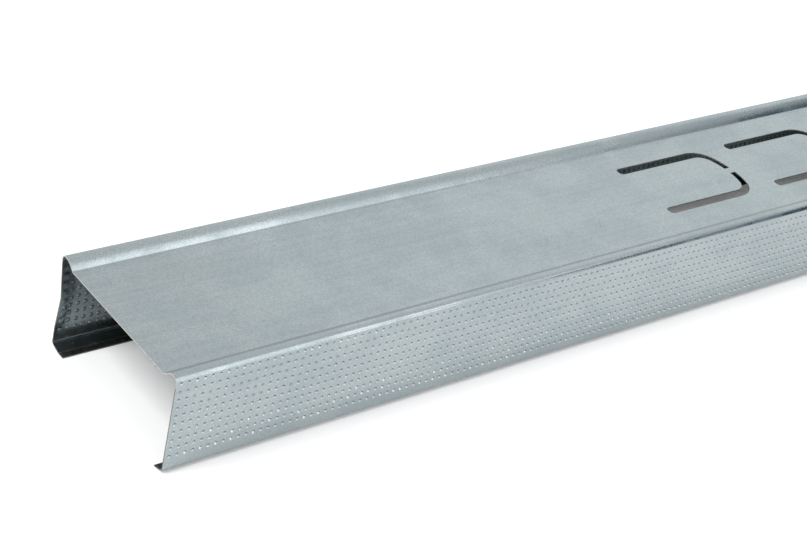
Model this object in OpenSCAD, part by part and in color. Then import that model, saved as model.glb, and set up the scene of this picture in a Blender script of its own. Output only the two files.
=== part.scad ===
// Roll-formed drywall stud: one strip of galvanised steel folded into a lipped
// channel, with a sunk web, two knurled flanges and pairs of U-shaped slots.
// It lies web up on its two lips. X runs along the length, Y across, Z up.
// The fine knurl on the flanges is surface relief and isn't cut here.

/* [Section] */

// Length of the stud
length = 2600; // [700:1:6000]

// Width over the outside of both flanges
width = 98.8; // [75:0.1:200]

// Height from the floor under the lips to the crest of the shoulders
height = 52; // [30:0.1:80]

// Thickness of the strip
sheet = 0.6; // [0.4:0.05:1.5]

/* [Shoulders] */

// Outer radius of the bend between flange and crest
crest_r = 3; // [1.7:0.1:3.8]

// Outer radius where the crest turns down to the web
shoulder_r = 3.6; // [2:0.1:8]

// Distance from a flange's outer face to the crease where the web starts
shoulder_width = 10.1; // [9:0.1:16]

// Depth of the web's top face below the crest
web_sink = 3.78; // [1.6:0.01:4.6]

// Radius of the crease between shoulder and web, on the top side
crease_r = 1.5; // [0.5:0.1:4]

// Slope of the shoulder, in degrees
shoulder_angle = 36.8699; // [27:0.1:54]

/* [Lips] */

// Outer radius of the bend between flange and lip
lip_r = 2; // [1.7:0.1:4]

// Angle the lips hang below level, in degrees
lip_angle = 16.2602; // [5:0.1:30]

// Length of the sloping part of each lip, from the corner of the flange
lip_slope = 6.5; // [4:0.1:20]

// Width of the level strip that continues the lip of the far flange
lip_flat = 4.4; // [1:0.1:12]

// Outer radius of the crease between the two parts of that lip
lip_crease_r = 2.1; // [1:0.1:6]

/* [Slots] */

// Distance from the end to the first slot
slot_first = 323.6; // [50:0.1:700]

// Distance between pairs of slots
pair_pitch = 600; // [200:1:3000]

// Least distance left between the last slot and the other end
slot_last = 250; // [20:1:700]

// Distance between the two slots of a pair
slot_pitch = 86; // [76:0.1:300]

// Length of a slot along the stud
slot_length = 70.8; // [45:0.1:80]

// Width of a slot across the stud
slot_width = 46.2; // [36:0.1:60]

// Width of the cut along the slot's two legs
slot_cut = 5.7; // [3.2:0.1:8]

// Width of the cut at the bowed end, where it narrows towards the bridge
slot_bow_cut = 4; // [2:0.1:8]

// Radius of the slot's corners
slot_corner_r = 14.35; // [9:0.05:20]

// Radius of the slot's bowed end
slot_bow_r = 45.6; // [30:0.1:100]

// Radius of the corners at the slot's open tips
slot_tip_r = 2.4; // [0.3:0.1:2.7]

// Width of the small bridge left across the bowed end
bridge = 4.4; // [1:0.1:12]

/* [Hidden] */

$fn = 96;

face = width / 2;
cs = cos(shoulder_angle);
ss = sin(shoulder_angle);
cl = cos(lip_angle);
sl = sin(lip_angle);

// corner of flange and lip, and tangent lengths of the bends
foot = lip_slope * sl;
lip_tan = lip_r * tan((90 - lip_angle) / 2);
shoulder_tan = shoulder_r * tan(shoulder_angle / 2);
crease_tan = crease_r * tan(shoulder_angle / 2);
lip_crease_tan = lip_crease_r * tan(lip_angle / 2);

// corner of crest and shoulder, corner of shoulder and web
knee = face - shoulder_width + web_sink * cs / ss;
heel = face - shoulder_width;
web_top = height - web_sink;

// number of pairs of slots that the length takes
pairs = 1 + floor((length - slot_first - slot_pitch - slot_length - slot_last) / pair_pitch);

// centres of the arcs of a slot, measured from its bowed end
bow_x = -slot_bow_r;
corner_y = slot_width / 2 - slot_corner_r;
corner_x = bow_x + sqrt(pow(slot_bow_r - slot_corner_r, 2) - pow(corner_y, 2));

// a point on side s of the stud: 1 is the far side, -1 the near side
function on(p, s) = [s * p[0], p[1]];

// the same corners, always counter-clockwise
function twice_area(p) = [for (i = [0 : len(p) - 1])
    cross(p[i], p[(i + 1) % len(p)])] * [for (i = [0 : len(p) - 1]) 1];
function wound(p) = twice_area(p) > 0 ? p : [for (i = [len(p) - 1 : -1 : 0]) p[i]];

// one bend: the part of a ring between two directions from its centre
module bend(c, r_out, d0, d1, s) {
    k = 3 * r_out;
    translate(on(c, s))
        intersection() {
            difference() {
                circle(r = r_out);
                circle(r = r_out - sheet);
            }
            polygon(wound([[0, 0], on(d0 * k, s), on(d1 * k, s)]));
        }
}

// one flat of the section: from a to b, with its thickness to the side of n
module flat(a, b, n, s) {
    polygon(wound([on(a, s), on(b, s), on(b + n * sheet, s), on(a + n * sheet, s)]));
}

// one side of the section, from the web to where the slope of its lip ends
module side(s, slope_end) {
    bend([heel - crease_tan, web_top + crease_r], crease_r + sheet, [0, -1], [ss, -cs], s);
    flat([heel + crease_tan * cs, web_top + crease_tan * ss],
         [knee - shoulder_tan * cs, height - shoulder_tan * ss], [ss, -cs], s);
    bend([knee + shoulder_tan, height - shoulder_r], shoulder_r, [-ss, cs], [0, 1], s);
    flat([knee + shoulder_tan, height], [face - crest_r, height], [0, -1], s);
    bend([face - crest_r, height - crest_r], crest_r, [0, 1], [1, 0], s);
    flat([face, height - crest_r], [face, foot + lip_tan], [-1, 0], s);
    bend([face - lip_r, foot + lip_tan], lip_r, [1, 0], [sl, -cl], s);
    flat([face - lip_tan * cl, foot - lip_tan * sl],
         [face - slope_end * cl, foot - slope_end * sl], [-sl, cl], s);
}

// whole section, looking along the stud: near lip short, far lip with a level strip
module section() {
    level = face - lip_slope * cl;
    translate([crease_tan - heel, web_top - sheet])
        square([2 * (heel - crease_tan), sheet]);
    side(-1, lip_slope);
    side(1, lip_slope - lip_crease_tan);
    bend([level - lip_crease_tan, lip_crease_r], lip_crease_r, [sl, -cl], [0, -1], 1);
    flat([level - lip_crease_tan, 0], [level - lip_flat, 0], [0, 1], 1);
}

// outline of a slot's outer edge, or of the tongue inside it; the bowed end is at x = 0
module slot_outline(inset) {
    r = slot_corner_r - inset;
    w = corner_y + r;
    union() {
        translate([-2 * slot_length, -w]) square([2 * slot_length + corner_x, 2 * w]);
        for (s = [-1, 1]) translate([corner_x, s * corner_y]) circle(r = r);
        intersection() {
            translate([bow_x, 0]) circle(r = slot_bow_r - inset);
            polygon([[bow_x, 0],
                     [bow_x + 2 * (corner_x - bow_x), 2 * corner_y],
                     [bow_x + 2 * (corner_x - bow_x), -2 * corner_y]]);
        }
    }
}

// one slot: two hooks that face each other across the bridge
module slot() {
    difference() {
        slot_outline(0);
        translate([slot_cut - slot_bow_cut, 0]) slot_outline(slot_cut);
        translate([-3 * slot_length, -slot_width]) square([2 * slot_length, 2 * slot_width]);
        translate([-slot_length / 2, -bridge / 2]) square([slot_length, bridge]);
        for (s = [-1, 1]) for (e = [-1, 1])
            translate([-slot_length, s * (slot_width / 2 - slot_cut / 2 + e * slot_cut / 2)])
                difference() {
                    square(2 * slot_tip_r, center = true);
                    translate([slot_tip_r, -e * s * slot_tip_r]) circle(r = slot_tip_r);
                }
    }
}

// the stud, its length centred
module stud() {
    color("silver")
        difference() {
            translate([-length / 2, 0, 0]) rotate([90, 0, 90])
                linear_extrude(height = length) section();
            for (i = [0 : pairs - 1]) for (j = [0, 1])
                translate([slot_first + i * pair_pitch + j * slot_pitch + slot_length - length / 2,
                           0, web_top - sheet - 1])
                    linear_extrude(height = sheet + 2) slot();
        }
}

stud();
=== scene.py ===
"""Dressed model of a roll-formed drywall stud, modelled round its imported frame."""

import math

import bmesh
import bpy
from bpy.props import FloatProperty, FloatVectorProperty, IntProperty, PointerProperty
from mathutils import Matrix, Vector


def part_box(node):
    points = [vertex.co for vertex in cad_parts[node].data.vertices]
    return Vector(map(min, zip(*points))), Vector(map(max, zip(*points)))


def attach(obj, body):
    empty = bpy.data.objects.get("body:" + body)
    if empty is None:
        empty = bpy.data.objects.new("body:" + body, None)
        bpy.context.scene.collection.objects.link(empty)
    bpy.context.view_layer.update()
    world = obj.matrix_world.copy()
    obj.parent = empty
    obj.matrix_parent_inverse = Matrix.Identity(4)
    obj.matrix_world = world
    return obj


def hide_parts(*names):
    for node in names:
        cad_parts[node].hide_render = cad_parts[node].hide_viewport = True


bl_info = {
    "name": "Drywall Stud",
    "version": (1, 0, 0),
    "blender": (4, 5, 0),
    "location": "View3D > Sidebar > Stud",
    "description": "Models a knurled, slotted drywall stud in four stretches, with its finish and stage",
    "category": "Object",
}

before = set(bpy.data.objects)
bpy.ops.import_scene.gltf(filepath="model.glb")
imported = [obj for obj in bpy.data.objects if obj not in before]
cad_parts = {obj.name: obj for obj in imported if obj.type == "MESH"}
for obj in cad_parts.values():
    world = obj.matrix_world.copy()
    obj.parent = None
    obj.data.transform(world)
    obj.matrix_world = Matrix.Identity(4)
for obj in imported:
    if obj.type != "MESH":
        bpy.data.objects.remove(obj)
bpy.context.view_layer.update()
STUD_LOW, STUD_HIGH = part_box("stud")

# How far the flanges' faces lie from the middle, and how high the crests of the shoulders are.
FACE = (STUD_HIGH.y - STUD_LOW.y) / 2
CREST = STUD_HIGH.z

STRETCHES = 4
NEAR, FAR = -1, 1
SIDES = (NEAR, FAR)

# Vertices closer than this are one vertex, and it is the allowance in every test of a place.
MERGE = 0.00002
# Edges this close to a flange's face belong to the flange.
NEAR_FACE = 0.0005
# The gap between the worked part and the bend at the crest, for the stitch to close: its turn in
# radians, and how far below and above the worked part's head its two rows of edges lie.
GAP_TURN = 0.08
GAP_BELOW, GAP_ABOVE = 0.0001, 0.0003


def length_value(name, description, default):
    """A length in metres, shown in the units of the scene."""
    return FloatProperty(name=name, description=description, default=default, min=0.0,
                         precision=5, subtype="DISTANCE", unit="LENGTH")


def angle_value(name, description, degrees):
    """An angle, shown in degrees."""
    return FloatProperty(name=name, description=description, default=math.radians(degrees),
                         subtype="ANGLE", unit="ROTATION")


def colour_value(name, description, default):
    """A plain colour."""
    return FloatVectorProperty(name=name, description=description, default=default, size=3,
                               min=0.0, max=1.0, subtype="COLOR")


def share_value(name, description, default):
    """A share from nothing to all."""
    return FloatProperty(name=name, description=description, default=default,
                         min=0.0, max=1.0, subtype="FACTOR")


def power_value(name, description, default):
    """The power of a lamp."""
    return FloatProperty(name=name, description=description, default=default, min=0.0, unit="POWER")


class StudSection(bpy.types.PropertyGroup):
    """Section of the rolled strip"""

    sheet: length_value("Sheet", "Thickness of the strip", 0.0006)
    crest_r: length_value("Crest radius", "Outer radius between flange and crest", 0.003)
    shoulder_r: length_value("Shoulder radius", "Outer radius where the crest turns down", 0.005)
    shoulder_width: length_value("Shoulder width", "From a flange's face to the crease of the web", 0.0101)
    web_sink: length_value("Web sink", "Depth of the web below the crest", 0.00378)
    far_crease_r: length_value("Far crease radius", "Radius between the far shoulder and the web", 0.001)
    near_crease_r: length_value("Near crease radius", "Radius between the near shoulder and the web", 0.0028)
    shoulder_angle: angle_value("Shoulder slope", "Slope of the shoulder", 36.8699)
    far_bow: angle_value("Far bow", "How much steeper the far slope is at the crease than above", 16.0)
    near_bow: angle_value("Near bow", "How much milder the near slope is at the crease than above", 8.0)
    lip_r: length_value("Lip radius", "Outer radius between flange and lip", 0.002)
    lip_angle: angle_value("Lip slope", "Angle of the lips below level", 16.2602)
    lip_slope: length_value("Lip length", "Length of the sloping part of a lip", 0.0065)
    lip_flat: length_value("Lip strip", "Width of the level strip on the far lip", 0.0044)
    lip_crease_r: length_value("Lip crease radius", "Outer radius between lip and level strip", 0.0021)


class StudSlots(bpy.types.PropertyGroup):
    """Pairs of slots in the web"""

    first: length_value("First slot", "From the end to the first slot", 0.3236)
    pair_pitch: length_value("Pair pitch", "Distance between pairs of slots", 0.6)
    pitch: length_value("Slot pitch", "Distance between the slots of a pair", 0.086)
    pairs: IntProperty(name="Pairs", description="Number of pairs of slots", default=4, min=1)
    length: length_value("Length", "Length of a slot", 0.0708)
    width: length_value("Width", "Width of a slot across the stud", 0.0462)
    cut: length_value("Leg cut", "Width of the cut along the legs", 0.0057)
    bow_cut: length_value("Bow cut", "Width of the cut at the bowed end", 0.004)
    corner_r: length_value("Corner radius", "Radius of the slot's corners", 0.01435)
    bow_r: length_value("Bow radius", "Radius of the bowed end", 0.0456)
    tip_r: length_value("Tip radius", "Radius at the open tips", 0.0024)
    bridge: length_value("Bridge", "Width of the bridge across the bow", 0.0044)


class StudKnurl(bpy.types.PropertyGroup):
    """Knurl on the flanges"""

    pitch: length_value("Pitch along", "Distance between columns of dents", 0.003968)
    row_pitch: length_value("Pitch across", "Distance between rows of dents", 0.004396)
    rows: IntProperty(name="Rows", description="Rows of dents on a flange", default=10, min=2)
    block: IntProperty(name="Block", description="Columns before the dents' depths repeat", default=41, min=2)
    blocks: IntProperty(name="Blocks", description="Blocks of columns in a stretch", default=4, min=1)
    near_first: length_value("Near first column", "From the end to the near flange's first column", 0.00246)
    far_first: length_value("Far first column", "From the end to the far flange's first column", 0.0029)
    near_low: length_value("Near low row", "Height of the near flange's lowest row", 0.00935)
    far_low: length_value("Far low row", "Height of the far flange's lowest row", 0.00905)
    drift: length_value("Drift", "How far the rows wander down from column to column", 0.0000284)
    dent_r: length_value("Dent radius", "Radius of a dent at its rim", 0.00104)
    dent_depth: length_value("Dent depth", "Depth of a dent", 0.0007)
    uneven: length_value("Unevenness", "Spread of the dents' depth", 0.00011)
    easing: share_value("Easing", "How much shallower the top row is than the lowest", 0.3)
    foot: length_value("Foot", "Height where the worked part of a flange starts", 0.0034)
    head: length_value("Head", "Height where the worked part of a flange ends", 0.0499)


class StudKink(bpy.types.PropertyGroup):
    """Kink in the far flange at the cut end, where it was knocked inwards"""

    height: length_value("Height", "Height of the kink", 0.0295)
    push: length_value("Push", "How far the flange is pushed in", 0.0026)
    reach: length_value("Reach", "How far up and down the flange follows", 0.02)
    draw: FloatProperty(name="Draw", description="How many times further it reaches up than along",
                        default=2.4, min=1.0)


class StudFinish(bpy.types.PropertyGroup):
    """Galvanised finish and cut edges"""

    zinc: colour_value("Zinc", "Main colour of the coating", (0.362, 0.41, 0.424))
    zinc_pale: colour_value("Pale zinc", "Paler patches of the coating", (0.418, 0.455, 0.46))
    zinc_dull: colour_value("Dull zinc", "Duller patches of the coating", (0.326, 0.38, 0.399))
    # Painted shade: this dark colour darkens the inside faces of the flanges, where the channel lies in
    # shade.
    inside: colour_value("Inside", "Darker film on the inside of the flanges", (0.08, 0.11, 0.12))
    # Painted highlight: this pale colour brightens the upward-facing lower sides of the dents.
    painted_highlight: colour_value("Burnished", "Zinc on the lower side of the dents, polished by the roll",
                            (0.72, 0.74, 0.73))
    # Brown for the pinholes, and painted shade on the downward-facing upper sides of the dents.
    grime_and_shade: colour_value("Grime", "Brown grime in the dents and pinholes", (0.075, 0.062, 0.042))
    # Colour of a thin broken yellow line along the sloping part of the far lip.
    yellow_line: colour_value("Oil line", "Dried rolling oil along the far lip", (1.0, 0.86, 0.36))
    bright_cut: colour_value("Bright cut", "Cut edge of the web", (0.50, 0.51, 0.50))
    dull_cut: colour_value("Dull cut", "Cut edge of the flanges", (0.20, 0.19, 0.14))
    streak_share: share_value("Streak share", "How strong the pale streaks are", 0.3)
    pinhole_share: share_value("Pinhole share", "How strong the pinholes are", 0.2)
    # Share of the painted shade on the inside faces of the flanges.
    inside_shade_share: share_value("Film share", "How strong the film on the inside is", 0.65)
    roughness: share_value("Roughness", "Roughness of the coating", 0.26)
    roughness_spread: share_value("Roughness spread", "How far the roughness varies", 0.1)
    dent_roughness: share_value("Dent roughness", "Least roughness in the dents", 0.5)
    patch_size: length_value("Patch size", "Size of the dull and pale patches", 0.03)
    grain_size: length_value("Grain size", "Size of the fine grain of the zinc", 0.0009)
    grain_depth: length_value("Grain depth", "Relief of the fine grain", 0.000012)
    # Distance from the middle of the stud to the thin yellow line on the far lip.
    yellow_line_place: length_value("Oil line's place", "From the middle of the stud to the oil line", 0.0427)


class StudStage(bpy.types.PropertyGroup):
    """Floor, lamps, dark card and camera"""

    floor_colour: colour_value("Floor", "Colour of the floor", (0.9, 0.9, 0.9))
    floor_lift: share_value("Floor lift", "Own light of the floor, as the camera and the steel see it", 0.1)
    ambient: share_value("Ambient", "Strength of the surroundings as light", 0.65)
    top_power: power_value("Top lamp", "Power of the lamp that the far shoulder shows", 3.7)
    side_power: power_value("Side lamp", "Power of the lamp at the cut end", 320.0)
    front_power: power_value("Front lamp", "Power of the lamp that the near crest shows", 3.6)
    back_power: power_value("Back lamp", "Power of the lamp that the web shows", 0.8)
    card_colour: colour_value("Card", "Colour of the dark card", (0.02, 0.075, 0.12))
    lens: FloatProperty(name="Lens", description="Focal length of the camera", default=82.13, unit="CAMERA")


# ---------------------------------------------------------------- modelling by hand

def leave_edit():
    """Back to object mode with nothing selected."""
    if bpy.context.object and bpy.context.object.mode != "OBJECT":
        bpy.ops.object.mode_set(mode="OBJECT")
    bpy.ops.object.select_all(action="DESELECT")


def select_only(*pieces):
    """Selects these objects and makes the first of them active."""
    leave_edit()
    for piece in pieces:
        piece.select_set(True)
    bpy.context.view_layer.objects.active = pieces[0]


def edit(piece, mode="VERT"):
    """Opens one object for editing, with nothing selected in it."""
    select_only(piece)
    bpy.ops.object.mode_set(mode="EDIT")
    bpy.ops.mesh.select_mode(type=mode)
    bpy.ops.mesh.select_all(action="DESELECT")


def pick_all():
    """Selects all of the open object."""
    bpy.ops.mesh.select_all(action="SELECT")


def pick(test, kind="verts"):
    """Selects the vertices, edges or faces of the open object for which the test holds."""
    mesh = bpy.context.edit_object.data
    shape = bmesh.from_edit_mesh(mesh)
    bpy.ops.mesh.select_all(action="DESELECT")
    for part in getattr(shape, kind):
        if test(part):
            part.select_set(True)
    shape.select_flush_mode()
    bmesh.update_edit_mesh(mesh, loop_triangles=False, destructive=False)


def join(pieces, name):
    """Joins several objects into one and names it."""
    select_only(*pieces)
    bpy.ops.object.join()
    piece = bpy.context.object
    piece.name = name
    piece.data.name = name
    return piece


def repeat(piece, count, step):
    """Repeats an object in a row and merges the copies where they meet."""
    select_only(piece)
    row = piece.modifiers.new("row", "ARRAY")
    row.count = count
    row.use_relative_offset = False
    row.use_constant_offset = True
    row.constant_offset_displace = step
    row.use_merge_vertices = True
    row.merge_threshold = MERGE
    bpy.ops.object.modifier_apply(modifier=row.name)


def start_line(name, place):
    """Starts a line: a new object, open for editing, with one selected vertex."""
    leave_edit()
    bpy.ops.mesh.primitive_plane_add(size=0.001, location=place)
    line = bpy.context.object
    line.name = name
    bpy.ops.object.transform_apply(location=True, rotation=True, scale=True)
    bpy.ops.object.mode_set(mode="EDIT")
    bpy.ops.mesh.select_mode(type="VERT")
    pick_all()
    bpy.ops.mesh.merge(type="CENTER")
    pick_all()
    return line


def line_by(step):
    """Draws the line on from its selected end."""
    bpy.ops.mesh.extrude_vertices_move(TRANSFORM_OT_translate={"value": step})


def arc_by(centre, axis, turn, steps):
    """Draws the line on along an arc; a positive turn is anticlockwise about the axis."""
    # The operator turns the other way.
    bpy.ops.mesh.spin(steps=steps, angle=-turn, center=centre, axis=axis)


# ---------------------------------------------------------------- section of the strip

class SidePen:
    """Draws the outer line of one side of the section, across the stud at one place along it."""

    def __init__(self, name, side, x, y, z):
        self.side = side
        self.x = x
        self.at = Vector((y, z))
        self.line = start_line(name, self.place(y, z))

    def place(self, y, z):
        """A point of the section, with its distance from the middle turned to this side."""
        return (self.x, self.side * y, z)

    def line_to(self, y, z):
        """A straight line to a point."""
        line_by((0.0, self.side * (y - self.at.x), z - self.at.y))
        self.at = Vector((y, z))

    def arc(self, centre, turn, steps):
        """An arc about a point."""
        arc_by(self.place(*centre), (1, 0, 0), self.side * turn, steps)
        away = self.at - Vector(centre)
        away.rotate(Matrix.Rotation(turn, 2))
        self.at = Vector(centre) + away


def bend_step(section, knurl):
    """The worked part reaches round the bend at the crest in two steps: length and turn of one."""
    step = (knurl.head - CREST + section.crest_r) / 2
    return step, 2 * math.asin(step / section.crest_r / 2)


def lip_top(section):
    """Height where a flange's face ends and the bend to its lip begins."""
    foot = section.lip_slope * math.sin(section.lip_angle)
    return foot + section.lip_r * math.tan((math.pi / 2 - section.lip_angle) / 2)


def crease_of(section, side):
    """Radius of the crease on one side, and where the flat web ends there."""
    radius = section.far_crease_r if side == FAR else section.near_crease_r
    heel = FACE - section.shoulder_width - radius * math.tan(section.shoulder_angle / 2)
    return radius, heel


def shoulder_sheet(section, knurl, side, x, stations):
    """One shoulder, from the web to the head of the flange: crease, bowed slope, crest and bend."""
    crease_r, heel = crease_of(section, side)
    web = CREST - section.web_sink
    bow = section.far_bow if side == FAR else -section.near_bow
    low, high = section.shoulder_angle + bow / 2, section.shoulder_angle - bow / 2
    rise = section.web_sink - crease_r * (1 - math.cos(low)) - section.shoulder_r * (1 - math.cos(high))
    bow_r = rise / (math.cos(high) - math.cos(low))
    worked = 2 * bend_step(section, knurl)[1]

    pen = SidePen("shoulder", side, x, heel, web)
    pen.arc((heel, web + crease_r), low, 4)
    pen.arc((pen.at.x + bow_r * math.sin(low), pen.at.y - bow_r * math.cos(low)), -bow, 4)
    pen.arc((pen.at.x + section.shoulder_r * math.sin(high), CREST - section.shoulder_r), -high, 5)
    pen.line_to(FACE - section.crest_r, CREST)
    pen.arc((FACE - section.crest_r, CREST - section.crest_r), worked + GAP_TURN - math.pi / 2, 8)
    draw_out(stations)
    return pen.line


def lip_sheet(section, side, x, stations):
    """One lip, from the foot of the flange to its tip; the far one has a level strip."""
    along, down = math.cos(section.lip_angle), math.sin(section.lip_angle)
    top = lip_top(section)
    fold = FACE - section.lip_slope * along
    fold_tan = section.lip_crease_r * math.tan(section.lip_angle / 2)

    pen = SidePen("lip", side, x, FACE, top)
    pen.arc((FACE - section.lip_r, top), section.lip_angle - math.pi / 2, 7)
    if side == FAR:
        pen.line_to(fold + fold_tan * along, fold_tan * down)
        pen.arc((fold - fold_tan, section.lip_crease_r), -section.lip_angle, 3)
        pen.line_to(fold - section.lip_flat, 0.0)
    else:
        pen.line_to(fold, 0.0)
    draw_out(stations)
    return pen.line


def draw_out(stations):
    """Extrudes the open line along the stud, with a row of edges at each station."""
    pick_all()
    for start, end in zip(stations, stations[1:]):
        bpy.ops.mesh.extrude_region_move(TRANSFORM_OT_translate={"value": (end - start, 0, 0)})


# ---------------------------------------------------------------- slots

def slot_hook(slots, side, x_end, web):
    """Outline of one hook of a slot: leg, corner and half of the bow, up to the bridge."""
    bow = slots.bow_r
    corner_y = slots.width / 2 - slots.corner_r
    reach = math.sqrt((bow - slots.corner_r) ** 2 - corner_y ** 2)
    swing = math.atan2(corner_y, reach)
    inner_bow = bow - slots.cut
    shift = slots.cut - slots.bow_cut
    bow_x = x_end - bow
    corner_x = bow_x + reach
    tip_x = x_end - slots.length + slots.tip_r
    half, tip = slots.width / 2, slots.tip_r
    bridge_turn = math.asin(slots.bridge / 2 / bow)
    inner_turn = math.asin(slots.bridge / 2 / inner_bow)

    def arc(centre_x, centre_y, turn, steps):
        arc_by((centre_x, side * centre_y, web), (0, 0, 1), side * turn, steps)

    # Out along the leg's outer edge, round the corner and along the bow to the bridge.
    hook = start_line("hook", (tip_x, side * half, web))
    line_by((corner_x - tip_x, 0, 0))
    arc(corner_x, corner_y, swing - math.pi / 2, 9)
    arc(bow_x, 0.0, bridge_turn - swing, 5)
    outer = bow_x + bow * math.cos(bridge_turn)
    inner = bow_x + shift + inner_bow * math.cos(inner_turn)
    line_by((inner - outer, 0, 0))
    # Back along the inner edge to the leg's rounded tip.
    arc(bow_x + shift, 0.0, swing - inner_turn, 5)
    arc(corner_x + shift, corner_y, math.pi / 2 - swing, 9)
    line_by((tip_x - corner_x - shift, 0, 0))
    arc(tip_x, half - slots.cut + tip, -math.pi / 2, 4)
    line_by((0, side * (slots.cut - 2 * tip), 0))
    arc(tip_x, half - tip, -math.pi / 2, 4)
    pick_all()
    bpy.ops.mesh.remove_doubles(threshold=MERGE)
    leave_edit()
    return hook


# ---------------------------------------------------------------- knurl

def knurl_cell(knurl, drift):
    """One cell of the knurl: a flat with a round dent in its middle, on the near side's plane."""
    leave_edit()
    bpy.ops.mesh.primitive_circle_add(vertices=8, radius=knurl.dent_r, fill_type="TRIFAN",
                                      location=(0, 0, 0), rotation=(math.pi / 2, math.pi / 8, 0))
    cell = bpy.context.object
    cell.name = "cell"
    bpy.ops.object.transform_apply(location=True, rotation=True, scale=True)
    depth = cell.data.attributes.new("dent", "FLOAT", "POINT")
    for vertex, value in zip(cell.data.vertices, depth.data):
        value.value = 1.0 if vertex.co.length < MERGE else 0.0
    edit(cell)
    pick(lambda v: v.co.length < MERGE)
    bpy.ops.transform.translate(value=(0, knurl.dent_depth, 0))
    bpy.ops.mesh.primitive_plane_add(size=1.0, rotation=(math.pi / 2, 0, 0))
    bpy.ops.transform.resize(value=(knurl.pitch, 1, knurl.row_pitch))
    bpy.ops.mesh.delete(type="ONLY_FACE")
    pick(lambda v: v.co.x > knurl.pitch / 4)
    bpy.ops.transform.translate(value=(0, 0, -drift))
    pick(lambda e: all(abs(v.co.y) < MERGE for v in e.verts), "edges")
    bpy.ops.mesh.fill()
    leave_edit()
    return cell


def worked_strip(knurl, drift):
    """Rows and columns of dents, the upper rows shallower and the depths uneven."""
    strip = knurl_cell(knurl, drift)
    repeat(strip, knurl.rows, (0, 0, knurl.row_pitch))
    edit(strip)
    for row in range(knurl.rows):
        share = 1.0 - knurl.easing * row / (knurl.rows - 1)
        pick(lambda v: v.co.y > MERGE and abs(v.co.z - row * knurl.row_pitch) < knurl.row_pitch / 4)
        bpy.ops.transform.resize(value=(1, share, 1), center_override=(0, 0, 0))
    repeat(strip, knurl.block, (knurl.pitch, 0, -drift))
    edit(strip)
    pick(lambda v: v.co.y > knurl.dent_depth / 4)
    bpy.ops.transform.vertex_random(offset=knurl.uneven, uniform=0.0, normal=1.0, seed=5)
    repeat(strip, knurl.blocks, (knurl.pitch * knurl.block, 0, -drift * knurl.block))
    return strip


def knurl_sheet(knurl, section, side, x_cells, low, drift, ends):
    """The worked part of one flange in one stretch, level at foot and head, its top on the bend."""
    sheet = worked_strip(knurl, drift)
    edit(sheet)
    pick_all()
    bpy.ops.transform.translate(value=(x_cells + knurl.pitch / 2, -FACE, low))
    if side == FAR:
        bpy.ops.transform.mirror(constraint_axis=(False, True, False), center_override=(0, 0, 0))
    level_edges(knurl)
    pick_all()
    bpy.ops.mesh.bisect(plane_co=(STUD_HIGH.x, 0, 0), plane_no=(1, 0, 0), clear_outer=True)
    square_ends(ends)
    onto_bend(knurl, section, side)
    leave_edit()
    return sheet


def border_of_open():
    """Where the vertices round the border of the open object are."""
    shape = bmesh.from_edit_mesh(bpy.context.edit_object.data)
    return [v.co for v in shape.verts if v.is_boundary]


def level_edges(knurl):
    """Draws the wandering borders of the worked part level, at its foot and its head."""
    border = border_of_open()
    left, right = min(c.x for c in border), max(c.x for c in border)
    slack = knurl.pitch / 8
    at_left = [c.z for c in border if c.x < left + slack]
    at_right = [c.z for c in border if c.x > right - slack]
    for extreme, level in ((min, knurl.foot), (max, knurl.head)):
        start, end = extreme(at_left), extreme(at_right)
        pick(lambda v: v.is_boundary
             and abs(v.co.z - start - (end - start) * (v.co.x - left) / (right - left)) < slack)
        bpy.ops.transform.resize(value=(1, 1, 0), center_override=(0, 0, level))


def square_ends(ends):
    """Draws the two ends of the worked part to the ends of the stretch."""
    border = border_of_open()
    for reached, end in ((min(c.x for c in border), ends[0]), (max(c.x for c in border), ends[1])):
        pick(lambda v: v.is_boundary and abs(v.co.x - reached) < MERGE)
        bpy.ops.transform.resize(value=(0, 1, 1), center_override=(end, 0, 0))


def onto_bend(knurl, section, side):
    """Turns the top of the worked part inwards in two steps, onto the start of the bend at the crest."""
    start = CREST - section.crest_r
    step, turn = bend_step(section, knurl)
    pick_all()
    for height in (start - step, start, start + step):
        bpy.ops.mesh.bisect(plane_co=(0, 0, height), plane_no=(0, 0, 1))
        pick_all()
    folds = ((FACE, start, turn / 2),
             (FACE - step * math.sin(turn / 2), start + step * math.cos(turn / 2), turn))
    for y, z, fold in folds:
        pick(lambda v: v.co.z > z + MERGE)
        bpy.ops.transform.rotate(value=-side * fold, orient_axis="X", center_override=(0, side * y, z))


# ---------------------------------------------------------------- one stretch of the stud

def stitch(x_low, x_high, side, z_low, z_high):
    """Closes the gap between two rows of edges on a flange, within a range along the stud."""
    def between(e):
        ends = [v.co for v in e.verts]
        return (e.is_boundary and abs(ends[0].z - ends[1].z) < MERGE
                and all(abs(c.y - side * FACE) < NEAR_FACE and x_low - MERGE < c.x < x_high + MERGE
                        and z_low - MERGE < c.z < z_high + MERGE for c in ends))

    pick(between, "edges")
    bpy.ops.mesh.bridge_edge_loops()


def fill_web(web, near, far, ends):
    """Fills the web between the two shoulders, round the outlines of the hooks."""
    for x in ends:
        pick(lambda v: abs(v.co.z - web) < MERGE and abs(v.co.x - x) < MERGE
             and (abs(v.co.y - near) < MERGE or abs(v.co.y - far) < MERGE))
        bpy.ops.mesh.edge_face_add()
    pick(lambda e: all(abs(v.co.z - web) < MERGE and near - MERGE < v.co.y < far + MERGE
                       for v in e.verts), "edges")
    bpy.ops.mesh.fill()


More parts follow.
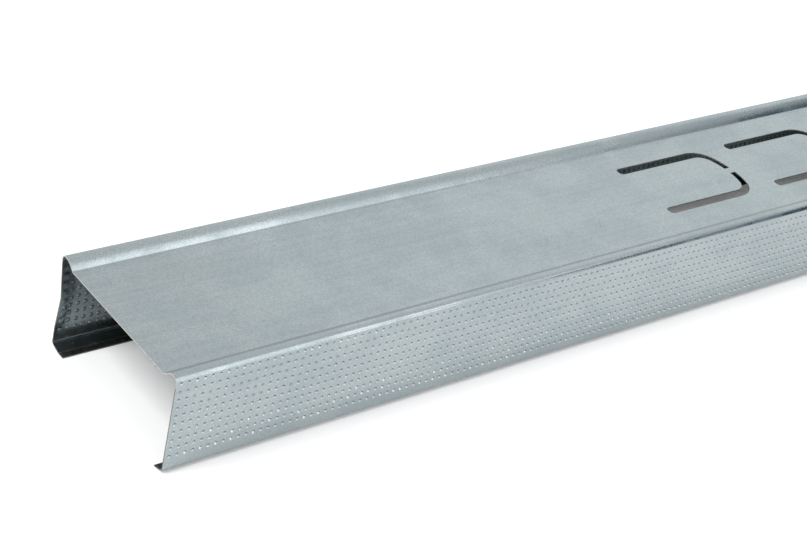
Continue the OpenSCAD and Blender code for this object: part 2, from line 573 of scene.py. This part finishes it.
def press_end(kink, row_pitch):
    """Presses the far flange in at the cut end: the push reaches further up than along."""
    start = STUD_LOW.x
    pick_all()
    bpy.ops.transform.resize(value=(kink.draw, 1, 1), center_override=(start, 0, 0))
    pick(lambda v: abs(v.co.x - start) < MERGE and abs(v.co.y - FACE) < NEAR_FACE
         and abs(v.co.z - kink.height) < row_pitch * 0.55)
    bpy.ops.transform.translate(value=(0, -kink.push, 0), use_proportional_edit=True,
                                proportional_edit_falloff="LINEAR", proportional_size=kink.reach)
    pick_all()
    bpy.ops.transform.resize(value=(1 / kink.draw, 1, 1), center_override=(start, 0, 0))


def check_closed(piece):
    """Stops the script if a stretch isn't one closed shell."""
    shape = bmesh.new()
    shape.from_mesh(piece.data)
    open_edges = sum(1 for e in shape.edges if len(e.link_faces) != 2)
    shape.free()
    if open_edges:
        raise RuntimeError(f"{piece.name} has {open_edges} open edges")


def worked_columns(knurl):
    """Columns of dents in one stretch."""
    return knurl.block * knurl.blocks


def stretch_ends(knurl):
    """Where the stretches start and end: the seams follow the near flange's columns."""
    first = STUD_LOW.x + knurl.near_first - knurl.pitch / 2
    run = knurl.pitch * worked_columns(knurl)
    seams = [first + run * n for n in range(1, STRETCHES)]
    return [STUD_LOW.x, *seams, STUD_HIGH.x]


def hooks_between(slots, web, x_low, x_high):
    """The outlines of the slots in one stretch, two hooks to a slot."""
    hooks = []
    for pair in range(slots.pairs):
        for slot in range(2):
            x_end = STUD_LOW.x + slots.first + pair * slots.pair_pitch + slot * slots.pitch + slots.length
            if x_low < x_end < x_high:
                hooks += [slot_hook(slots, side, x_end, web) for side in SIDES]
    return hooks


def build_stretch(scene, number, ends, finishes):
    """One closed stretch of the strip, with its part of the knurl and its slots."""
    section, knurl = scene.stud_section, scene.stud_knurl
    web = CREST - section.web_sink
    x_low, x_high = ends[number], ends[number + 1]
    # The rows wander down along one stretch and up again along the next, so they meet at the seams.
    falling = number % 2 == 0
    drift = knurl.drift if falling else -knurl.drift
    fallen = 0.0 if falling else knurl.drift * worked_columns(knurl)

    pieces = []
    stations = {}
    for side in SIDES:
        first, low = ((knurl.near_first, knurl.near_low) if side == NEAR
                      else (knurl.far_first, knurl.far_low))
        cells = STUD_LOW.x + first - knurl.pitch / 2 + knurl.pitch * worked_columns(knurl) * number
        # Short faces at the cut end let the flange bend there.
        short = [cells + knurl.pitch * n for n in (1, 2, 3)] if number == 0 else []
        stations[side] = [x_low, *short, x_high]
        pieces += [
            knurl_sheet(knurl, section, side, cells, low - fallen, drift, (x_low, x_high)),
            shoulder_sheet(section, knurl, side, x_low, stations[side]),
            lip_sheet(section, side, x_low, stations[side]),
        ]
    pieces += hooks_between(scene.stud_slots, web, x_low, x_high)

    stud = join(pieces, f"stud_stretch_{number + 1}")
    edit(stud, "EDGE")
    for side, rows in stations.items():
        for start, end in zip(rows, rows[1:]):
            stitch(start, end, side, knurl.head - GAP_BELOW, knurl.head + GAP_ABOVE)
            stitch(start, end, side, lip_top(section), knurl.foot)
    fill_web(web, -crease_of(section, NEAR)[1], crease_of(section, FAR)[1], (x_low, x_high))
    pick_all()
    bpy.ops.mesh.remove_doubles(threshold=MERGE)
    bpy.ops.mesh.normals_make_consistent(inside=False)
    if number == 0:
        press_end(scene.stud_kink, knurl.row_pitch)
    leave_edit()
    face_up(stud, web)
    give_thickness(stud, section.sheet, finishes)
    return stud


def face_up(stud, web):
    """Turns the sheet over if its web faces down."""
    flat = [p for p in stud.data.polygons if abs(p.center.z - web) < MERGE and abs(p.normal.z) > 0.9]
    if sum(p.normal.z * p.area for p in flat) < 0:
        edit(stud)
        pick_all()
        bpy.ops.mesh.flip_normals()
        leave_edit()


def give_thickness(stud, sheet, finishes):
    """Gives the sheet its thickness on the inside, the finish of its cut edges, and smooth bends."""
    stud.data.materials.clear()
    for finish in finishes:
        stud.data.materials.append(finish)
    select_only(stud)
    wall = stud.modifiers.new("wall", "SOLIDIFY")
    wall.thickness = sheet
    wall.offset = -1.0
    wall.material_offset_rim = 1
    bpy.ops.object.modifier_apply(modifier=wall.name)
    bpy.ops.object.shade_smooth_by_angle(angle=math.radians(27))
    normals = stud.modifiers.new("normals", "WEIGHTED_NORMAL")
    normals.keep_sharp = True
    bpy.ops.object.modifier_apply(modifier=normals.name)
    check_closed(stud)


# ---------------------------------------------------------------- finish

# The streaks run along the strip, as it does through the rolls.
STREAKS_PER_METRE = (6.0, 330.0, 330.0)
PINHOLES_PER_METRE = 95.0
# Height over which a cut edge turns from dull, on the flanges, to bright, on the web.
BRIGHT_CUT_RANGE = (0.0462, 0.0482)


def add_node(tree, kind, values=None, **settings):
    """A node with its settings and the values of its inputs."""
    node = tree.nodes.new(kind)
    for name, value in settings.items():
        setattr(node, name, value)
    for name, value in (values or {}).items():
        node.inputs[name].default_value = value
    return node


def feed(tree, socket, value):
    """Feeds an input from a socket or a plain value."""
    if hasattr(value, "is_linked"):
        tree.links.new(value, socket)
    elif hasattr(value, "__len__"):
        socket.default_value = (*value, 1)
    else:
        socket.default_value = value


def blend(tree, share, first, second, mode="MIX"):
    """Mixes two colours by a share; each may be a socket or a plain value."""
    mix = add_node(tree, "ShaderNodeMix", data_type="RGBA", blend_type=mode)
    for socket, value in zip((mix.inputs[0], mix.inputs[6], mix.inputs[7]), (share, first, second)):
        feed(tree, socket, value)
    return mix.outputs[2]


def ramp_between(tree, value, low, high, to_low=0.0, to_high=1.0):
    """Maps a range of values smoothly to another."""
    step = add_node(tree, "ShaderNodeMapRange", {"From Min": low, "From Max": high, "To Min": to_low,
                                                 "To Max": to_high}, interpolation_type="SMOOTHSTEP")
    feed(tree, step.inputs["Value"], value)
    return step.outputs["Result"]


def reckon(tree, operation, first, second):
    """One sum; each term may be a socket or a number."""
    sum_node = add_node(tree, "ShaderNodeMath", operation=operation)
    for socket, value in zip(sum_node.inputs, (first, second)):
        feed(tree, socket, value)
    return sum_node.outputs[0]


def times(tree, first, *others):
    """The product of masks and numbers."""
    for other in others:
        first = reckon(tree, "MULTIPLY", first, other)
    return first


def relief(tree, height, depth):
    """A bumped normal."""
    bump = add_node(tree, "ShaderNodeBump", {"Strength": 1.0, "Distance": depth})
    feed(tree, bump.inputs["Height"], height)
    return bump.outputs["Normal"]


def dress(material, values):
    """Sets inputs of a material's shader, each from a socket or a plain value."""
    tree = material.node_tree
    shader = tree.nodes["Principled BSDF"]
    for name, value in values.items():
        feed(tree, shader.inputs[name], value)


def new_material(name, values):
    """A material with these inputs of its shader set."""
    material = bpy.data.materials.new(name)
    material.use_nodes = True
    dress(material, values)
    return material


def zinc_grain_group():
    """Node group: patches, fine grain, long streaks and pinholes of a zinc coating, as masks."""
    group = bpy.data.node_groups.new("zinc_grain", "ShaderNodeTree")
    sockets = group.interface
    sockets.new_socket(name="Place", in_out="INPUT", socket_type="NodeSocketVector")
    for name in ("Patches per metre", "Grains per metre"):
        sockets.new_socket(name=name, in_out="INPUT", socket_type="NodeSocketFloat")
    for name in ("Patch", "Grain", "Streak", "Pinhole"):
        sockets.new_socket(name=name, in_out="OUTPUT", socket_type="NodeSocketFloat")
    start = add_node(group, "NodeGroupInput")
    end = add_node(group, "NodeGroupOutput")
    link = group.links.new

    # Noise keeps near its middle, so each mask is drawn out over the range that it covers.
    patch = add_node(group, "ShaderNodeTexNoise", {"Detail": 3.0, "Roughness": 0.55})
    link(start.outputs["Place"], patch.inputs["Vector"])
    link(start.outputs["Patches per metre"], patch.inputs["Scale"])
    link(ramp_between(group, patch.outputs[0], 0.34, 0.66), end.inputs["Patch"])

    grain = add_node(group, "ShaderNodeTexNoise", {"Detail": 2.0, "Roughness": 0.6})
    link(start.outputs["Place"], grain.inputs["Vector"])
    link(start.outputs["Grains per metre"], grain.inputs["Scale"])
    link(ramp_between(group, grain.outputs[0], 0.28, 0.72), end.inputs["Grain"])

    along = add_node(group, "ShaderNodeMapping", {"Scale": STREAKS_PER_METRE})
    link(start.outputs["Place"], along.inputs["Vector"])
    streak = add_node(group, "ShaderNodeTexNoise", {"Scale": 1.0, "Detail": 2.0})
    link(along.outputs["Vector"], streak.inputs["Vector"])
    link(ramp_between(group, streak.outputs[0], 0.32, 0.68), end.inputs["Streak"])

    cells = add_node(group, "ShaderNodeTexVoronoi", {"Scale": PINHOLES_PER_METRE, "Randomness": 1.0})
    link(start.outputs["Place"], cells.inputs["Vector"])
    link(ramp_between(group, cells.outputs["Distance"], 0.10, 0.03), end.inputs["Pinhole"])
    return group


def zinc_masks(tree, group, finish):
    """Places the group of masks in a material, on the object's own coordinates."""
    place = add_node(tree, "ShaderNodeTexCoord")
    masks = add_node(tree, "ShaderNodeGroup", node_tree=group)
    masks.inputs["Patches per metre"].default_value = 1 / finish.patch_size
    masks.inputs["Grains per metre"].default_value = 1 / finish.grain_size
    tree.links.new(place.outputs["Object"], masks.inputs["Place"])
    split = add_node(tree, "ShaderNodeSeparateXYZ")
    tree.links.new(place.outputs["Object"], split.inputs["Vector"])
    return masks.outputs, split.outputs


def dent_masks(tree):
    """How deep in a dent, and which way the surface faces: across the stud and up."""
    dent = add_node(tree, "ShaderNodeAttribute", attribute_name="dent")
    normal = add_node(tree, "ShaderNodeNewGeometry")
    facing = add_node(tree, "ShaderNodeSeparateXYZ")
    tree.links.new(normal.outputs["Normal"], facing.inputs["Vector"])
    return ramp_between(tree, dent.outputs["Fac"], 0.02, 0.35), facing.outputs["Y"], facing.outputs["Z"]


def yellow_line_mask(tree, finish, at, streak):
    """A thin broken line along the sloping part of the far lip."""
    across = reckon(tree, "ABSOLUTE", reckon(tree, "SUBTRACT", at["Y"], finish.yellow_line_place), 0.0)
    line = ramp_between(tree, across, 0.0005, 0.0002)
    low = ramp_between(tree, at["Z"], 0.0025, 0.0018)
    line_breaks = ramp_between(tree, streak, 0.15, 0.65)
    return times(tree, line, low, line_breaks)


def galvanised(finish, group):
    """Satin zinc coating: patches, grain, streaks and pinholes; painted shade on the upper sides of the dents
    and a painted highlight on their lower sides; painted shade on the inside faces of the flanges; a thin
    yellow line on the far lip.
    """
    material = new_material("galvanised_strip", {"Metallic": 1.0})
    tree = material.node_tree
    masks, at = zinc_masks(tree, group, finish)
    deep, facing_y, facing_z = dent_masks(tree)

    zinc = blend(tree, masks["Patch"], finish.zinc_dull, finish.zinc)
    zinc = blend(tree, times(tree, masks["Streak"], finish.streak_share), zinc, finish.zinc_pale)
    grey = ramp_between(tree, masks["Grain"], 0.0, 1.0, 0.9, 1.06)
    fleck = add_node(tree, "ShaderNodeCombineColor")
    for socket in fleck.inputs[:3]:
        feed(tree, socket, grey)
    zinc = blend(tree, 1.0, zinc, fleck.outputs[0], mode="MULTIPLY")
    zinc = blend(tree, times(tree, masks["Pinhole"], finish.pinhole_share), zinc, finish.grime_and_shade)

    # Painted shade: the brown colour darkens the downward-facing upper side of a dent, and a painted
    # highlight: the pale colour brightens its upward-facing lower side.
    painted_shade_side = ramp_between(tree, facing_z, 0.1, -0.2)
    painted_highlight_side = ramp_between(tree, facing_z, 0.12, 0.4)
    zinc = blend(tree, times(tree, deep, painted_shade_side), zinc, finish.grime_and_shade)
    zinc = blend(tree, times(tree, deep, painted_highlight_side), zinc, finish.painted_highlight)

    # Painted shade: a dark colour on upright faces that look towards the middle, above the lips, where the
    # inside of the channel lies in shade.
    inward = ramp_between(tree, times(tree, facing_y, at["Y"]), 0.0, -0.02)
    upright = ramp_between(tree, facing_z, 0.5, 0.2)
    above = ramp_between(tree, at["Z"], 0.003, 0.01)
    zinc = blend(tree, times(tree, inward, upright, above, finish.inside_shade_share), zinc, finish.inside)
    zinc = blend(tree, yellow_line_mask(tree, finish, at, masks["Streak"]), zinc, finish.yellow_line)

    spread = finish.roughness_spread / 2
    rough = ramp_between(tree, masks["Patch"], 0.0, 1.0, finish.roughness + spread, finish.roughness - spread)
    height = reckon(tree, "ADD", masks["Grain"], times(tree, masks["Streak"], 0.8))
    dress(material, {
        "Base Color": zinc,
        "Roughness": reckon(tree, "MAXIMUM", rough, times(tree, deep, finish.dent_roughness)),
        "Normal": relief(tree, height, finish.grain_depth),
    })
    return material


def cut_steel(finish, group):
    """Sheared edge of the strip: lighter at the height of the web and the slots, darker below it on the
    flanges.
    """
    material = new_material("cut_edge", {"Metallic": 1.0})
    tree = material.node_tree
    masks, at = zinc_masks(tree, group, finish)
    up = ramp_between(tree, at["Z"], *BRIGHT_CUT_RANGE)
    colour = blend(tree, up, finish.dull_cut, finish.bright_cut)
    colour = blend(tree, times(tree, masks["Grain"], 0.35), colour, finish.dull_cut)
    dress(material, {
        "Base Color": colour,
        "Roughness": ramp_between(tree, masks["Grain"], 0.0, 1.0, 0.42, 0.6),
        "Normal": relief(tree, masks["Grain"], finish.grain_depth * 2),
    })
    return material


class STUD_OT_build_stretches(bpy.types.Operator):
    """Build the stud as four closed stretches of knurled, slotted strip"""

    bl_idname = "stud.build_stretches"
    bl_label = "Build stud"

    def execute(self, context):
        scene = context.scene
        ends = stretch_ends(scene.stud_knurl)
        group = zinc_grain_group()
        finishes = [galvanised(scene.stud_finish, group), cut_steel(scene.stud_finish, group)]
        for number in range(STRETCHES):
            stud = build_stretch(scene, number, ends, finishes)
            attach(stud, "root")
            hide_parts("stud")
        return {"FINISHED"}


# ---------------------------------------------------------------- stage

FLOOR_SIZE = 60.0
# Each lamp's place, the place it points at, its size across and along, and its colour.
LAMPS = {
    "top": ((-0.08, -1.12, 1.6), (-1.1, 0, 0), (0.85, 1.0), (1.0, 1.0, 1.0)),
    "side": ((-4.8, 0.4, 4.9), (-1.25, 0, 0), (3.0, 3.0), (1.0, 1.0, 1.0)),
    "front": ((-0.34, -1.6, 0.75), (-1.15, -0.05, 0), (1.0, 0.9), (1.0, 1.0, 1.0)),
    "back": ((0.5, 0.95, 1.05), (-1.0, 0, 0), (1.7, 0.9), (0.78, 0.96, 1.0)),
}
# The card's place, the place it points at, and its size.
DARK_CARD = ((1.22, -0.78, 0.88), (-0.75, 0, 0.03), (2.6, 1.6))
# The camera's place in metres, its turn in degrees, and the width of its film in millimetres.
CAMERA_PLACE = (-1.67107, -0.53871, 0.5186)
CAMERA_TURN = (56.8274, -11.5431, -37.2166)
SENSOR_WIDTH = 36.0


def seen_by(tree, rays, unseen, seen):
    """One strength for light in general, another for what these rays see directly."""
    path = add_node(tree, "ShaderNodeLightPath")
    eye = path.outputs[rays[0]]
    for ray in rays[1:]:
        eye = reckon(tree, "MAXIMUM", eye, path.outputs[ray])
    level = add_node(tree, "ShaderNodeMapRange", {"To Min": unseen, "To Max": seen})
    tree.links.new(eye, level.inputs["Value"])
    return level.outputs["Result"]


def white_floor(stage):
    """Pale floor that keeps the object's shadow."""
    material = new_material("floor_white", {
        "Base Color": stage.floor_colour,
        "Roughness": 0.9,
        "Specular IOR Level": 0.0,
        "Emission Color": (1, 1, 1),
    })
    lift = seen_by(material.node_tree, ("Is Camera Ray", "Is Glossy Ray"), 0.0, stage.floor_lift)
    dress(material, {"Emission Strength": lift})
    return material


def white_world(world, ambient):
    """Pale surroundings that camera, metal and glass see as white."""
    world.use_nodes = True
    tree = world.node_tree
    backdrop = tree.nodes["Background"]
    backdrop.inputs["Color"].default_value = (1, 1, 1, 1)
    level = seen_by(tree, ("Is Camera Ray", "Is Glossy Ray", "Is Transmission Ray"), ambient, 1.0)
    tree.links.new(level, backdrop.inputs["Strength"])


def aimed(place, target):
    """The turn that points a lamp or a card at a place."""
    return (Vector(target) - Vector(place)).to_track_quat("-Z", "Y").to_euler()


def add_card(name, place, target, size, colour):
    """A plain card out of the picture, which only the steel's reflections show, in its own colour."""
    leave_edit()
    bpy.ops.mesh.primitive_plane_add(size=1, location=place, rotation=aimed(place, target))
    card = bpy.context.object
    card.name = name
    card.scale = (*size, 1)
    bpy.ops.object.transform_apply(location=False, rotation=False, scale=True)
    card.data.materials.append(new_material(name, {
        "Base Color": (0, 0, 0),
        "Specular IOR Level": 0.0,
        "Emission Color": colour,
        "Emission Strength": 1.0,
    }))
    card.visible_camera = False
    card.visible_diffuse = False
    card.visible_shadow = False


def add_lamp(name, place, target, size, power, colour):
    """A soft oblong lamp that points at a place."""
    leave_edit()
    bpy.ops.object.light_add(type="AREA", location=place, rotation=aimed(place, target))
    lamp = bpy.context.object
    lamp.name = name
    lamp.data.shape = "RECTANGLE"
    lamp.data.size, lamp.data.size_y = size
    lamp.data.energy = power
    lamp.data.color = colour


class STUD_OT_set_stage(bpy.types.Operator):
    """Set the floor, the lamps, the surroundings and the camera"""

    bl_idname = "stud.set_stage"
    bl_label = "Set stage"

    def execute(self, context):
        scene = context.scene
        stage = scene.stud_stage
        leave_edit()
        bpy.ops.mesh.primitive_plane_add(size=FLOOR_SIZE, location=(0, 0, 0))
        floor = bpy.context.object
        floor.name = "floor"
        floor.data.materials.append(white_floor(stage))
        if scene.world is None:
            scene.world = bpy.data.worlds.new("surroundings")
        white_world(scene.world, stage.ambient)
        for name, (place, target, size, colour) in LAMPS.items():
            add_lamp(f"{name}_lamp", place, target, size, getattr(stage, f"{name}_power"), colour)
        add_card("dark_card", *DARK_CARD, stage.card_colour)
        bpy.ops.object.camera_add(location=CAMERA_PLACE, rotation=[math.radians(a) for a in CAMERA_TURN])
        camera = bpy.context.object
        camera.name = "camera"
        camera.data.lens = stage.lens
        camera.data.sensor_width = SENSOR_WIDTH
        camera.data.clip_start = 0.01
        scene.camera = camera
        scene.view_settings.view_transform = "Standard"
        return {"FINISHED"}


class STUD_PT_panel(bpy.types.Panel):
    """Sizes, finish and stage of the stud"""

    bl_idname = "STUD_PT_panel"
    bl_label = "Drywall stud"
    bl_space_type = "VIEW_3D"
    bl_region_type = "UI"
    bl_category = "Stud"

    def draw(self, context):
        scene = context.scene
        for group in GROUPS:
            values = getattr(scene, group)
            box = self.layout.box()
            for name in values.__annotations__:
                box.prop(values, name)
        self.layout.operator(STUD_OT_build_stretches.bl_idname)
        self.layout.operator(STUD_OT_set_stage.bl_idname)


GROUPS = {
    "stud_section": StudSection,
    "stud_slots": StudSlots,
    "stud_knurl": StudKnurl,
    "stud_kink": StudKink,
    "stud_finish": StudFinish,
    "stud_stage": StudStage,
}
CLASSES = (*GROUPS.values(), STUD_OT_build_stretches, STUD_OT_set_stage, STUD_PT_panel)


def register():
    """Registers the classes and hangs the sizes on the scene."""
    for item in CLASSES:
        bpy.utils.register_class(item)
    for name, group in GROUPS.items():
        setattr(bpy.types.Scene, name, PointerProperty(type=group))


def unregister():
    """Removes the sizes and the classes."""
    for name in GROUPS:
        delattr(bpy.types.Scene, name)
    for item in reversed(CLASSES):
        bpy.utils.unregister_class(item)


def main():
    """Builds everything in order."""
    register()
    bpy.ops.stud.build_stretches()
    bpy.ops.stud.set_stage()


if __name__ == "__main__":
    main()
